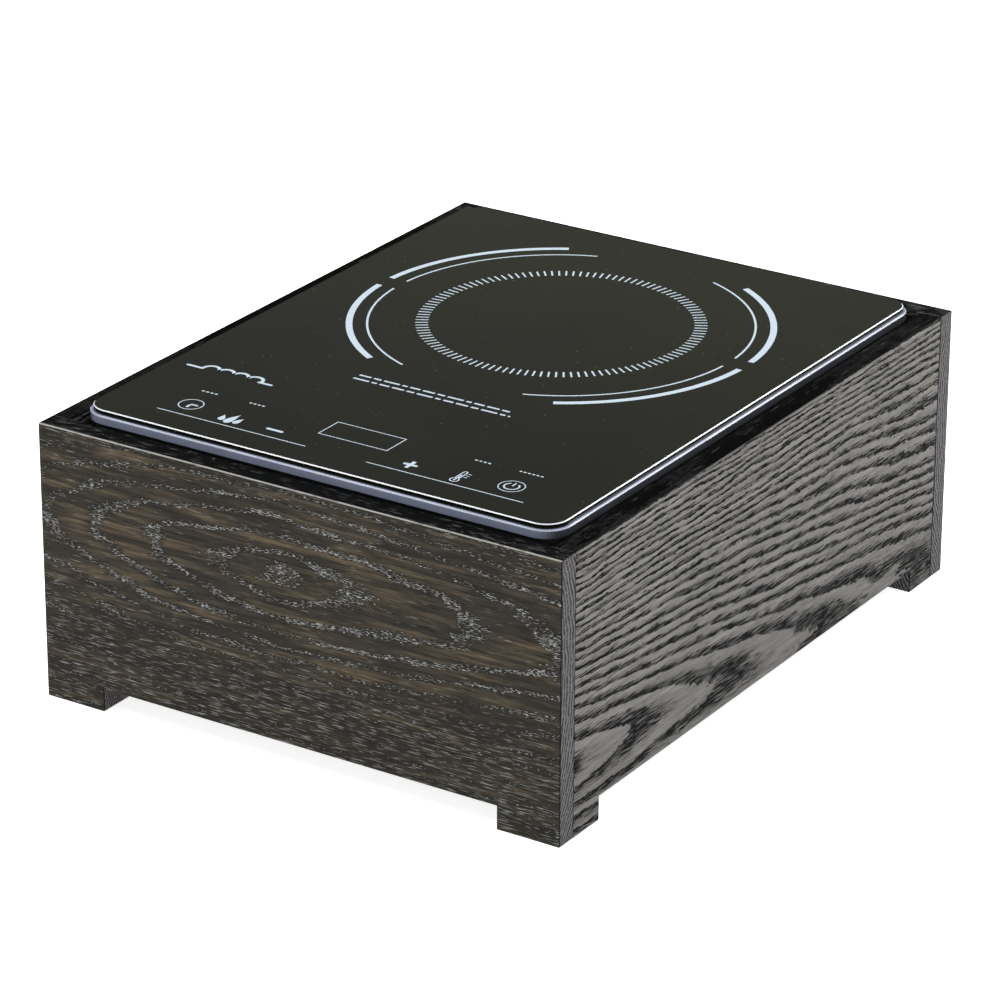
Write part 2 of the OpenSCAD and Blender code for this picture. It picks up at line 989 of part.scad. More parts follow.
// Rotor: a cup over the stator, with flat slanted blades around it
module fan_rotor() {
  color([0.16, 0.16, 0.17])
    translate([fan_x, fan_y, rotor_z]) {
      difference() {
        cylinder(d = hub_d, h = rotor_h);
        translate([0, 0, -1])
          cylinder(d = hub_d - 2 * cup_t, h = rotor_h - cup_t + 1);
      }
      intersection() {
        difference() {
          cylinder(r = rotor_r, h = rotor_h, $fn = fine);
          translate([0, 0, -1])
            cylinder(d = hub_d - 1, h = rotor_h + 2);
        }
        for (i = [0:fan_blades - 1])
          rotate(i * 360 / fan_blades)
            translate([0, 0, rotor_h / 2])
              rotate([38, 0, 0])
                translate([rotor_r / 2, 0, 0])
                  cube([rotor_r + 2, 1.6, rotor_h * 1.05], center = true);
      }
    }
}

module fan_screws() {
  color(steel)
    at_fan_screws()
      translate([0, 0, case_bottom])
        machine_screw(3, 12, 5.5, 1.8);
}

module fan_lead() {
  color([0.75, 0.15, 0.12])
    for (i = [0, 1])
      wire([
        [fan_x + fan_side / 2 + 1.5, fan_y - 30 + i * 3, fan_z + 8],
        [board_x0 + 4, fan_y - 30 + i * 3, pcb_top + 8],
        [board_x0 + 4, fan_y - 30 + i * 3, pcb_top]
      ], 1.6);
}

// Duct between the fan and the heatsink: a roof with a fence in front of the heatsink's left
module air_baffle() {
  color([0.8, 0.8, 0.77])
    difference() {
      union() {
        block([duct_x0, duct_y0, duct_z1 - duct_t], [duct_x1 - duct_x0, duct_y1 - duct_y0, duct_t]);
        block([duct_x0, duct_y0, case_floor], [board_x0 - 2 - duct_x0, duct_t, duct_z1 - case_floor]);
        block([duct_x0, duct_y0, case_floor], [duct_t, duct_y2 - duct_y0, duct_z1 - case_floor]);
      }
      translate([zone.x, zone.y, 0])
        at_pillars(case_floor - 1)
          cylinder(d = pillar_hole_d, h = hob_h);
      translate([zone.x, zone.y, duct_z1 - 5])
        cylinder(d = 12, h = 10);
    }
}

module cord_gland() {
  color([0.1, 0.1, 0.1])
    translate([gland_x, gland_y, case_bottom])
      difference() {
        union() {
          translate([0, 0, -4])
            cylinder(d = gland_d + 4, h = 4);
          cylinder(d = gland_d - 0.1, h = wall);
          translate([0, 0, wall])
            cylinder(d = gland_d + 3, h = 5);
        }
        translate([0, 0, -5])
          cylinder(d = cord_d, h = 20);
      }
}

module cord_clamp() {
  color([0.85, 0.85, 0.82])
    translate([gland_x, gland_y, case_floor + 5])
      difference() {
        translate([-12, -7, 0])
          cube([24, 14, 8]);
        translate([0, 0, -1])
          cylinder(d = cord_d + 1, h = 10);
        for (x = [-9, 9])
          translate([x, 0, -1])
            cylinder(d = 2.6, h = 10);
      }
}

front_board();
back_board();
left_board();
right_board();
post_front_left();
post_front_right();
post_back_left();
post_back_right();
left_rail();
right_rail();
post_screws();
rail_screws();
glass_top();
glass_seal();
top_frame();
bottom_case();
hob_feet();
case_screws();
mica_sheet();
litz_coil();
coil_former();
ferrite_bars();
shield_plate();
coil_pillars();
coil_screws();
sensor_holder();
temperature_sensor();
coil_leads();
power_board();
board_screws();
heatsink();
power_transistors();
bridge_rectifier();
resonant_capacitor();
filter_capacitor();
filter_choke();
transformer();
fuse();
terminal_block();
buzzer();
control_carrier();
control_board();
touch_springs();
led_display();
indicator_leds();
ribbon_cable();
fan_frame();
fan_stator();
fan_bearing();
fan_rotor();
rotor_shaft();
fan_screws();
fan_lead();
air_baffle();
cord_gland();
cord_clamp();
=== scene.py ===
"""Looks of an induction hob in a dark oak surround: materials, printed marks, floor, lights and camera."""

import json
import math

import bmesh
import bpy
from mathutils import Matrix, Vector


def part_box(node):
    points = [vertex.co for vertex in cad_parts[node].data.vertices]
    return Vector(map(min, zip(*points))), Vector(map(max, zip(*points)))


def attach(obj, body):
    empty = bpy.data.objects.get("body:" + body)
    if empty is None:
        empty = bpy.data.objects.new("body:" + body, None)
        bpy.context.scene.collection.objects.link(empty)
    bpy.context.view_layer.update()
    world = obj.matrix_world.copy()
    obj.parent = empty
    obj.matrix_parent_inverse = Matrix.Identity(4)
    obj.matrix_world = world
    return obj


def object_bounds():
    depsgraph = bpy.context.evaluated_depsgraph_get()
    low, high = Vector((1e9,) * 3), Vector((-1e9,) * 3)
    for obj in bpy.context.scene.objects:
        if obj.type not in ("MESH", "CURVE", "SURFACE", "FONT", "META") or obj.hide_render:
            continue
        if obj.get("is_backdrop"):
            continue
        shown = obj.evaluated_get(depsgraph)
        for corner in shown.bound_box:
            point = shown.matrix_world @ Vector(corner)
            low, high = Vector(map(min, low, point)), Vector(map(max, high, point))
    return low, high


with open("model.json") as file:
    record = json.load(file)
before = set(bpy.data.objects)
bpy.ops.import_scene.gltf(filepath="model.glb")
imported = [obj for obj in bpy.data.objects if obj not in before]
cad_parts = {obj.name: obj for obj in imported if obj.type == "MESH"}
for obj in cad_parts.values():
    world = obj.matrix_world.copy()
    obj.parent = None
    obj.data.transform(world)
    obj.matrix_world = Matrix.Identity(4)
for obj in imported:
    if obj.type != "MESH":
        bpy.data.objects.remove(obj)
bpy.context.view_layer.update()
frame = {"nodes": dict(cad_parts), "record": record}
node_objects = frame["nodes"]

MM = 0.001


# ---------------------------------------------------------------- node trees

class Shader:
    """A material being built: short calls for the nodes it needs."""

    def __init__(self, name):
        self.material = bpy.data.materials.new(name)
        self.material.use_nodes = True
        self.tree = self.material.node_tree
        self.tree.nodes.clear()
        self.surface = self.node("BsdfPrincipled")
        output = self.node("OutputMaterial")
        self.tree.links.new(self.surface.outputs[0], output.inputs[0])

    def node(self, kind, **settings):
        made = self.tree.nodes.new("ShaderNode" + kind)
        for key, value in settings.items():
            setattr(made, key, value)
        return made

    def feed(self, socket, value):
        if isinstance(value, bpy.types.NodeSocket):
            self.tree.links.new(value, socket)
        elif isinstance(value, tuple) and len(value) == 3 and socket.type == "RGBA":
            socket.default_value = (*value, 1.0)
        else:
            socket.default_value = value

    def set(self, **values):
        """Sets inputs of the surface by name, with _ for a space."""
        for key, value in values.items():
            self.feed(self.surface.inputs[key.replace("_", " ")], value)

    def math(self, operation, *values):
        made = self.node("Math", operation=operation)
        for socket, value in zip(made.inputs, values):
            self.feed(socket, value)
        return made.outputs[0]

    def add(self, a, b):
        return self.math("ADD", a, b)

    def sub(self, a, b):
        return self.math("SUBTRACT", a, b)

    def times(self, a, b):
        return self.math("MULTIPLY", a, b)

    def position(self):
        """The point in millimetres, fixed to the piece: x, y and z outputs."""
        coordinates = self.node("TexCoord")
        scaled = self.node("VectorMath", operation="SCALE")
        self.feed(scaled.inputs[0], coordinates.outputs["Object"])
        scaled.inputs["Scale"].default_value = 1 / MM
        parts = self.node("SeparateXYZ")
        self.feed(parts.inputs[0], scaled.outputs[0])
        return parts.outputs[0], parts.outputs[1], parts.outputs[2]

    def facing(self):
        """The true surface normal: x, y and z outputs."""
        geometry = self.node("NewGeometry")
        parts = self.node("SeparateXYZ")
        self.feed(parts.inputs[0], geometry.outputs["True Normal"])
        return parts.outputs[0], parts.outputs[1], parts.outputs[2]

    def bevels(self):
        """A mask of the faces that look up aslant, such as bevels."""
        nz = self.facing()[2]
        return self.times(self.step(nz, 0.3, 0.5), self.step(nz, 0.85, 0.97, 1.0, 0.0))

    def point(self, x, y, z):
        made = self.node("CombineXYZ")
        for socket, value in zip(made.inputs, (x, y, z)):
            self.feed(socket, value)
        return made.outputs[0]

    def stretched(self, x, y, z, size_x, size_y, size_z):
        """A texture point whose cells are size_x by size_y by size_z millimetres."""
        return self.point(self.times(x, 1 / size_x), self.times(y, 1 / size_y), self.times(z, 1 / size_z))

    def noise(self, vector, detail=2.0, roughness=0.5):
        made = self.node("TexNoise")
        self.feed(made.inputs["Vector"], vector)
        made.inputs["Scale"].default_value = 1.0
        made.inputs["Detail"].default_value = detail
        made.inputs["Roughness"].default_value = roughness
        return made.outputs[0]

    def cells(self, vector):
        """Voronoi cells: the distance to the nearest centre and two random values per cell."""
        made = self.node("TexVoronoi")
        self.feed(made.inputs["Vector"], vector)
        made.inputs["Scale"].default_value = 1.0
        parts = self.node("SeparateColor")
        self.feed(parts.inputs[0], made.outputs["Color"])
        return made.outputs["Distance"], parts.outputs[0], parts.outputs[1]

    def step(self, value, start, end, low=0.0, high=1.0):
        """A smooth step from low at start to high at end."""
        made = self.node("MapRange", interpolation_type="SMOOTHSTEP")
        for key, number in (("From Min", start), ("From Max", end), ("To Min", low), ("To Max", high)):
            self.feed(made.inputs[key], number)
        self.feed(made.inputs["Value"], value)
        return made.outputs[0]

    def mix(self, factor, a, b):
        """The colour a where the factor is 0 and b where it is 1."""
        made = self.node("Mix", data_type="RGBA")
        self.feed(made.inputs[0], factor)
        self.feed(made.inputs[6], a)
        self.feed(made.inputs[7], b)
        return made.outputs[2]

    def bump(self, height, distance):
        """Relief of a height from 0 to 1, distance in millimetres."""
        made = self.node("Bump")
        made.inputs["Distance"].default_value = distance * MM
        self.feed(made.inputs["Height"], height)
        self.feed(self.surface.inputs["Normal"], made.outputs[0])


def rgb(red, green, blue):
    """A colour given as screen values 0 to 255, made linear."""
    return tuple((value / 255) ** 2.2 for value in (red, green, blue))


def dimmed(color, factor):
    """A screen colour made darker by a factor, and linear."""
    return rgb(*(value * factor for value in color))


# ---------------------------------------------------------------- oak

def growth_rings(sh, u, z, w, figure, look):
    """The rings that the board's surface cuts, bent by waves of three sizes.

    Gives the place within a ring, the early wood, how far out the point lies and the middle wave.
    """
    slow = sh.sub(sh.noise(sh.stretched(u, z, w, 110, 34, 34), 1.0), 0.5)
    medium = sh.sub(sh.noise(sh.stretched(u, z, w, 26, 8, 8), 1.0), 0.5)
    quick = sh.sub(sh.noise(sh.stretched(u, z, w, 3.5, 1.6, 1.6), 1.0), 0.5)
    run = sh.sub(u, figure["pith_u"])
    tilted = sh.step(z, *figure["calm"], 1.0, 0.12)
    rise = sh.sub(sh.sub(z, figure["pith_v"]), sh.times(tilted, sh.times(run, figure["lean"])))
    ahead = sh.times(sh.math("POWER", sh.math("MAXIMUM", run, 0.0), figure["bow"]), figure["slope_ahead"])
    astern = sh.times(sh.math("MINIMUM", run, 0.0), -figure["slope_astern"])
    inward = sh.sub(w, sh.times(tilted, sh.add(sh.add(ahead, astern), figure["pith_depth"])))
    radius = sh.math("SQRT", sh.add(sh.times(rise, rise), sh.times(inward, inward)))
    bent = sh.add(radius, sh.times(slow, figure["wander"]))
    bent = sh.add(bent, sh.times(medium, figure["ripple"]))
    bent = sh.add(bent, sh.times(quick, figure["ragged"]))
    bent = sh.math("MAXIMUM", bent, 0.0)
    phase = sh.math("FRACT", sh.math("POWER", sh.times(bent, 1 / figure["spacing"]), figure["squeeze"]))
    band = sh.times(sh.step(phase, 0.0, 0.06), sh.step(phase, *figure["fade"], 1.0, 0.0))
    patchy = sh.step(sh.noise(sh.stretched(u, z, w, 60, 9, 9), 2.0), 0.35, 0.6, look["faint"], 1.0)
    band = sh.times(band, patchy)
    band = sh.math("MAXIMUM", band, sh.times(sh.step(bent, *figure["heart"], 1.0, 0.0), patchy))
    outer = sh.step(bent, *figure["outer"])
    band = sh.times(band, sh.math("MULTIPLY_ADD", outer, look["outer_band"] - 1.0, 1.0))
    return phase, band, outer, medium


def pore_strokes(sh, u, z, w, band, look, lift):
    """Pores cut along the grain, denser in the early wood: a mask, moved down by lift."""
    length, thick = look["pore"]
    grit = sh.noise(sh.stretched(u, sh.add(z, lift), w, length, thick, thick), 1.0, 0.6)
    limit = sh.math("MULTIPLY_ADD", band, look["most"] - look["least"], look["least"])
    return sh.step(sh.sub(grit, limit), 0.0, 0.04)


def stained_ground_with_painted_foot_shade(sh, u, z, w, fibre, phase, band, outer, look):
    """The stained wood between the pores: warm clouds, dark streaks, and painted shade that makes it
    darker towards the table.
    """
    streak = sh.noise(sh.stretched(u, z, w, 45, 1.8, 1.8), 2.0)
    warm = sh.step(sh.noise(sh.stretched(u, z, w, 80, 8, 8), 4.0, 0.6), 0.42, 0.7)
    warm = sh.times(warm, sh.step(phase, 0.15, 0.5, 0.35, 1.0))
    deep = rgb(*look["deep"])
    ground = sh.mix(warm, rgb(*look["dark"]), rgb(*look["warm"]))
    ground = sh.mix(sh.step(streak, 0.4, 0.65, 0.0, look["streak"]), ground, deep)
    ground = sh.mix(sh.times(band, look["band_shade"]), ground, deep)
    ground = sh.mix(sh.times(outer, look["outer_shade"]), ground, deep)
    bright = sh.node("HueSaturation")
    sh.feed(bright.inputs["Color"], ground)
    value = sh.step(fibre, 0.3, 0.7, 1 - look["fibre"], 1 + look["fibre"])
    # Painted shade: foot_shade darkens the wood towards the table.
    sh.feed(bright.inputs["Value"], sh.times(value, sh.step(z, 0.0, 75.0, look["foot_shade"], 1.0)))
    return bright.outputs[0]


def end_grain(sh, u, z, w, fibre, medium, look):
    """The sawn end of a board: its colour, and the curved ring lines that cross it."""
    ring_pitch = 2.4
    middle_z = 95.0
    half_height = 85
    sweep = 22.0
    curve = sh.math("POWER", sh.math("ABSOLUTE", sh.times(sh.sub(z, middle_z), 1 / half_height)), 2.2)
    across = sh.add(sh.add(w, sh.times(medium, 3.0)), sh.times(curve, sweep))
    ring = sh.math("FRACT", sh.times(across, 1 / ring_pitch))
    ring_line = sh.step(sh.math("ABSOLUTE", sh.sub(ring, 0.5)), 0.19, 0.36, 1.0, 0.0)
    dots = sh.noise(sh.stretched(u, z, w, 0.9, 1.6, 0.8), 1.0)
    ring_line = sh.times(ring_line, sh.step(dots, 0.36, 0.50, 0.25, 1.0))
    pale = sh.mix(sh.step(fibre, 0.3, 0.7), rgb(*look["end"]), rgb(*look["end_light"]))
    return sh.mix(sh.times(ring_line, 0.9), pale, rgb(*look["end_line"])), ring_line


def edge_wear_and_highlight(sh, x, y, z, w, nz, sideways):
    """The bevel along the top of the outer face, rubbed pale in patches and partly a painted highlight: a
    mask.
    """
    wear_and_highlight = sh.times(sh.step(nz, 0.2, 0.35), sh.step(nz, 0.94, 0.985, 1.0, 0.0))
    wear_and_highlight = sh.times(wear_and_highlight, sh.step(sh.math("ABSOLUTE", sideways), 0.15, 0.3))
    wear_and_highlight = sh.times(wear_and_highlight, sh.step(w, 1.0, 1.5, 1.0, 0.0))
    return sh.times(wear_and_highlight, sh.step(sh.noise(sh.stretched(x, y, z, 8, 8, 8), 2.0), 0.3, 0.5, 0.55, 1.0))


def oak(name, along, depth, figure, look):
    """Solid open-grain oak: growth rings round a pith that runs near the board's face.

    along is the axis of the grain, depth gives the distance behind the outer face.
    """
    sh = Shader(name)
    x, y, z = sh.position()
    nx, ny, nz = sh.facing()
    u = x if along == "x" else y
    w = depth(sh, x, y)
    end_on = sh.step(sh.math("ABSOLUTE", nx if along == "x" else ny), 0.6, 0.8)
    top_on = sh.step(nz, 0.75, 0.95)

    phase, band, outer, medium = growth_rings(sh, u, z, w, figure, look)
    # hollow marks the dark pores; emboss moves them below the gleam strokes, so each painted highlight
    # gets a dark partner, painted shade of the relief.
    hollow = pore_strokes(sh, u, z, w, band, look, -look["pore"][1] * look["emboss"])
    gleam = pore_strokes(sh, u, z, w, band, look, 0.0)
    thread = sh.noise(sh.stretched(u, z, w, look["thread"], 0.44, 0.44), 1.0, 0.6)
    thread_limit = sh.math("MULTIPLY_ADD", outer, look["thread_outer"] - look["thread_inner"],
                           look["thread_inner"])
    thread_on = sh.step(sh.sub(thread, thread_limit), 0.0, 0.07)
    thread_deep = sh.step(sh.sub(1.0, thread), 0.60, 0.72)

    fibre = sh.noise(sh.stretched(u, z, w, 18, 0.42, 0.42), 2.0, 0.6)
    ground = stained_ground_with_painted_foot_shade(sh, u, z, w, fibre, phase, band, outer, look)
    end_color, ring_line = end_grain(sh, u, z, w, fibre, medium, look)

    color = sh.mix(sh.times(thread_deep, look["thread_dark"]), ground, rgb(*look["hollow"]))
    color = sh.mix(sh.times(hollow, look["hollow_on"]), color, rgb(*look["hollow"]))
    tone = sh.noise(sh.stretched(u, z, w, 5, 2.4, 2.4), 1.0)
    # Painted highlights: pale flecks where the pore edges catch light, set by fleck_on.
    fleck = sh.times(gleam, sh.step(tone, 0.35, 0.62, 0.25, 1.0))
    color = sh.mix(sh.times(fleck, look["fleck_on"]), color, rgb(*look["fleck"]))
    color = sh.mix(sh.times(thread_on, look["thread_on"]), color, rgb(*look["fleck"]))
    # The board tops: their near-black colours are painted shade and their pale flecks painted highlights.
    pale_top = sh.math("MAXIMUM", sh.times(fleck, look["top_flecks"]), sh.times(thread_on, 0.6))
    top_color = sh.mix(pale_top, rgb(*look["top"]), rgb(*look["top_fleck"]))
    top_color = sh.mix(sh.step(fibre, 0.4, 0.7, 0.0, 0.5), top_color, rgb(*look["top_deep"]))
    color = sh.mix(top_on, color, top_color)
    color = sh.mix(end_on, color, end_color)
    # The front boards' pale edge colour is partly wear and partly a painted highlight along the bevel.
    wear_and_highlight = edge_wear_and_highlight(sh, x, y, z, w, nz, ny if along == "x" else nx)
    color = sh.mix(sh.times(wear_and_highlight, look["edge_on"]), color, rgb(*look["edge"]))
    corner = sh.math("ABSOLUTE", sh.times(nx, ny))
    color = sh.mix(sh.step(corner, 0.2, 0.34, 0.0, 0.85), color, rgb(*look["hollow"]))

    sh.set(Base_Color=color, Specular_IOR_Level=look["specular"])
    sh.set(Roughness=sh.step(fibre, 0.3, 0.7, look["rough"] - 0.06, look["rough"] + 0.08))
    relief = sh.sub(sh.times(fibre, 0.25), sh.math("MAXIMUM", hollow, sh.times(ring_line, end_on)))
    sh.bump(relief, look["relief"])
    return sh.material


# Where the pith lies and how it slopes, and the rings' waves and spacing; lengths in millimetres
FRONT_FIGURE = {"pith_v": 106.0, "pith_u": -6.0, "lean": 0.0, "pith_depth": 8.0, "slope_ahead": 0.3,
                "bow": 0.85, "slope_astern": 0.21, "calm": (64.0, 30.0), "wander": 9.0, "ripple": 4.5,
                "ragged": 2.0, "spacing": 14.0, "squeeze": 1.35, "fade": (0.2, 0.5), "outer": (36.0, 66.0),
                "heart": (9.5, 13.0)}
SIDE_FIGURE = {"pith_v": 41.0, "pith_u": -196.0, "lean": -0.08, "pith_depth": 0.0, "slope_ahead": 1.88,
               "bow": 0.5, "slope_astern": 0.13, "calm": (60.0, 150.0), "wander": 7.0, "ripple": 2.8,
               "ragged": 1.8, "spacing": 14.0, "squeeze": 1.5, "fade": (0.18, 0.95), "outer": (46.0, 70.0),
               "heart": (1.0, 2.0)}

# Screen colours of the wood, and the size, density and strength of its pores, threads and flecks; the pale
# flecks are painted highlights, the near-black tops and foot_shade painted shade
FRONT_LOOK = {"dark": (50, 47, 42), "warm": (90, 80, 64), "deep": (33, 32, 29), "hollow": (5, 5, 5),
              "fleck": (176, 177, 174), "top": (9, 10, 9), "top_fleck": (120, 122, 120), "top_flecks": 0.5,
              "top_deep": (5, 6, 5), "end": (82, 80, 82), "end_light": (102, 100, 102),
              "end_line": (14, 13, 14), "edge": (168, 167, 163), "edge_on": 0.8, "faint": 0.7,
              "least": 0.83, "most": 0.495, "emboss": 0.75, "pore": (2.3, 0.6), "thread": 11.0,
              "thread_inner": 0.70, "thread_outer": 0.605, "thread_on": 0.45, "thread_dark": 0.8,
              "foot_shade": 0.95, "outer_band": 0.6, "streak": 0.6, "band_shade": 0.45,
              "outer_shade": 0.4, "fibre": 0.45, "fleck_on": 0.64, "hollow_on": 0.95,
              "specular": 0.08, "rough": 0.55, "relief": 0.2}
# Side boards: the grey ground colours are painted sheen, the lacquer's reflection painted in, which makes
# the sides lighter than the front.
SIDE_LOOK_WITH_PAINTED_SHEEN = {"dark": (108, 106, 104), "warm": (121, 119, 115), "deep": (74, 73, 72), "hollow": (5, 5, 6),
             "fleck": (140, 140, 138), "top": (9, 10, 9), "top_fleck": (120, 122, 120), "top_flecks": 0.06,
             "top_deep": (5, 6, 5), "end": (82, 80, 82), "end_light": (102, 100, 102),
             "end_line": (14, 13, 14), "edge": (60, 60, 59), "edge_on": 0.3, "faint": 0.85,
             "least": 0.74, "most": 0.38, "emboss": 0.0, "pore": (13.0, 0.54), "thread": 16.0,
             "thread_inner": 0.74, "thread_outer": 0.70, "thread_on": 0.15, "thread_dark": 0.75,
             "foot_shade": 0.8, "outer_band": 1.0, "streak": 0.3, "band_shade": 0.4,
             "outer_shade": 0.0, "fibre": 0.2, "fleck_on": 0.0, "hollow_on": 1.0,
             "specular": 0.03, "rough": 0.55, "relief": 0.2}

BACK_FIGURE = {**FRONT_FIGURE, "pith_v": 62.0, "pith_u": -40.0}
LEFT_FIGURE = {**SIDE_FIGURE, "pith_v": 96.0, "pith_u": -60.0, "slope_ahead": 0.17, "bow": 1.0}

low, high = (Vector(corner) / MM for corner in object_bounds())
boards = {
    "front_board": ("x", lambda sh, x, y: sh.sub(y, low.y), FRONT_FIGURE, FRONT_LOOK),
    "back_board": ("x", lambda sh, x, y: sh.sub(high.y, y), BACK_FIGURE, FRONT_LOOK),
    "right_board": ("y", lambda sh, x, y: sh.sub(high.x, x), SIDE_FIGURE, SIDE_LOOK_WITH_PAINTED_SHEEN),
    "left_board": ("y", lambda sh, x, y: sh.sub(x, low.x), LEFT_FIGURE, SIDE_LOOK_WITH_PAINTED_SHEEN),
}


# ---------------------------------------------------------------- glass, print and moulded parts

def black_glass():
    """Polished black ceramic glass with a ground bevel, faint smudges and a few specks of dust; the
    bevel's near-white colour is partly the pale ground edge and partly a painted highlight.
    """
    sh = Shader("black_glass")
    x, y, z = sh.position()
    nz = sh.facing()[2]
    edge = sh.bevels()
    distance, chance, tone = sh.cells(sh.stretched(x, y, z, 4.2, 4.2, 4.2))
    speck = sh.times(sh.step(distance, 0.035, 0.085, 1.0, 0.0), sh.step(chance, 0.55, 0.6))
    speck = sh.times(speck, sh.step(nz, 0.9, 0.99))
    cloud = sh.noise(sh.stretched(x, y, z, 90, 90, 90), 3.0)
    # Random cloudy tone, plus a painted reflection that lightens the glass towards the back.
    cloud_and_painted_reflection = sh.math("MULTIPLY_ADD", cloud, 0.5, sh.step(y, -180, 180, 0.0, 0.5))
    base = sh.mix(cloud_and_painted_reflection, rgb(7, 9, 2), rgb(33, 35, 21))
    base = sh.mix(sh.times(speck, sh.times(tone, 0.55)), base, rgb(150, 155, 148))
    grain = sh.noise(sh.stretched(x, y, z, 1.2, 1.2, 0.4), 2.0)
    # Near-white bevel colour: partly pale ground glass, partly a painted highlight.
    ground = sh.mix(grain, rgb(212, 216, 222), rgb(244, 246, 250))
    sh.set(Base_Color=sh.mix(sh.times(edge, 0.8), base, ground), IOR=1.5)
    smudge = sh.noise(sh.stretched(x, y, z, 38, 22, 30), 4.0, 0.6)
    rough = sh.step(smudge, 0.45, 0.75, 0.05, 0.11)
    sh.set(Roughness=sh.add(rough, sh.math("MAXIMUM", sh.times(edge, 0.2), sh.times(speck, 0.4))))
    sh.bump(sh.times(grain, edge), 0.03)
    return sh.material


def printed():
    """Fired white enamel print: pale, faintly blue, finely pitted."""
    sh = Shader("enamel_print")
    x, y, z = sh.position()
    grain = sh.noise(sh.stretched(x, y, z, 0.5, 0.5, 0.5), 2.0)
    sh.set(Base_Color=sh.mix(sh.step(grain, 0.3, 0.7), rgb(160, 175, 187), rgb(187, 200, 210)))
    sh.set(Roughness=sh.step(grain, 0.3, 0.7, 0.3, 0.45))
    sh.bump(grain, 0.01)
    return sh.material


def moulded(name, color, rough=0.5, relief=0.03, size=0.7, spread=0.18, metal=0.0, edge=None, sides=None):
    """Moulded or cast stuff: fine texture and a slow change of tone.

    edge is the colour of bevelled edges, a painted highlight, and sides that of the faces to the left and
    right, painted shade.
    """
    sh = Shader(name)
    x, y, z = sh.position()
    fine = sh.noise(sh.stretched(x, y, z, size, size, size), 3.0, 0.6)
    slow = sh.noise(sh.stretched(x, y, z, 22, 22, 22), 2.0)
    tone = sh.math("MULTIPLY_ADD", slow, 0.5, sh.times(fine, 0.5))
    base = sh.mix(sh.step(tone, 0.35, 0.65), rgb(*color), dimmed(color, 1 - spread))
    # Painted shade: faces turned left or right take the darker sides colour.
    if sides:
        sideways = sh.step(sh.math("ABSOLUTE", sh.facing()[0]), 0.25, 0.9)
        base = sh.mix(sideways, base, rgb(*sides))
    # Painted highlight: the bevelled faces take the lighter edge colour.
    if edge:
        base = sh.mix(sh.bevels(), base, rgb(*edge))
    sh.set(Base_Color=base, Metallic=metal)
    sh.set(Roughness=sh.step(slow, 0.3, 0.7, rough - 0.06, rough + 0.06))
    sh.bump(fine, relief)
    return sh.material


def brushed(name, color, cell, rough=0.32):
    """Metal drawn or ground in one direction: long fine scratches, cell long by wide in millimetres."""
    sh = Shader(name)
    x, y, z = sh.position()
    scratch = sh.noise(sh.stretched(x, y, z, *cell), 3.0, 0.7)
    slow = sh.noise(sh.stretched(x, y, z, 14, 14, 14), 2.0)
    sh.set(Base_Color=sh.mix(sh.step(scratch, 0.3, 0.7), dimmed(color, 0.82), rgb(*color)), Metallic=1.0)
    sh.set(Roughness=sh.add(sh.step(scratch, 0.3, 0.7, rough - 0.06, rough + 0.06), sh.times(slow, 0.08)))
    sh.bump(scratch, 0.01)
    return sh.material


def windings(name, color, pitch, centre):
    """Varnished wire wound round a vertical axis: strands side by side, twisted."""
    sh = Shader(name)
    x, y, z = sh.position()
    dx = sh.sub(x, centre[0])
    dy = sh.sub(y, centre[1])
    radius = sh.math("SQRT", sh.add(sh.times(dx, dx), sh.times(dy, dy)))
    angle = sh.math("ARCTAN2", dy, dx)
    twist = sh.add(sh.times(radius, 1 / pitch), sh.times(angle, 9.0))
    strand = sh.math("ABSOLUTE", sh.sub(sh.math("FRACT", sh.add(twist, sh.times(z, 1 / pitch))), 0.5))
    groove = sh.step(strand, 0.32, 0.5)
    slow = sh.noise(sh.stretched(x, y, z, 12, 12, 12), 2.0)
    base = sh.mix(sh.step(slow, 0.35, 0.65), rgb(*color), dimmed(color, 0.85))
    # Painted shade: the grooves between strands are painted darker.
    sh.set(Base_Color=sh.mix(groove, base, dimmed(color, 0.45)), Metallic=0.75)
    sh.set(Roughness=sh.step(slow, 0.3, 0.7, 0.28, 0.4))
    sh.bump(sh.sub(1.0, groove), 0.15)
    return sh.material


def circuit_board():
    """Green solder mask over copper tracks, with tinned dots."""
    sh = Shader("circuit_board")
    x, y, z = sh.position()
    brick = sh.node("TexBrick", offset=0.5, squash=1.0)
    sh.feed(brick.inputs["Vector"], sh.stretched(x, y, z, 9, 9, 9))
    brick.inputs["Scale"].default_value = 1.0
    brick.inputs["Mortar Size"].default_value = 0.035
    brick.inputs["Mortar Smooth"].default_value = 0.2
    distance, chance, tone = sh.cells(sh.stretched(x, y, z, 3.4, 3.4, 3.4))
    dot = sh.times(sh.step(distance, 0.14, 0.2, 1.0, 0.0), sh.step(chance, 0.6, 0.65))
    slow = sh.noise(sh.stretched(x, y, z, 16, 16, 16), 2.0)
    mask = sh.mix(sh.step(slow, 0.4, 0.6), rgb(28, 92, 52), rgb(34, 108, 62))
    tracks = sh.times(brick.outputs["Fac"], sh.step(chance, 0.3, 0.35))
    base = sh.mix(sh.times(tracks, 0.8), mask, rgb(64, 148, 84))
    sh.set(Base_Color=sh.mix(dot, base, rgb(190, 190, 184)), Metallic=sh.times(dot, 0.8))
    sh.set(Roughness=sh.step(slow, 0.3, 0.7, 0.25, 0.4))
    sh.bump(sh.math("MAXIMUM", dot, tracks), 0.05)
    return sh.material


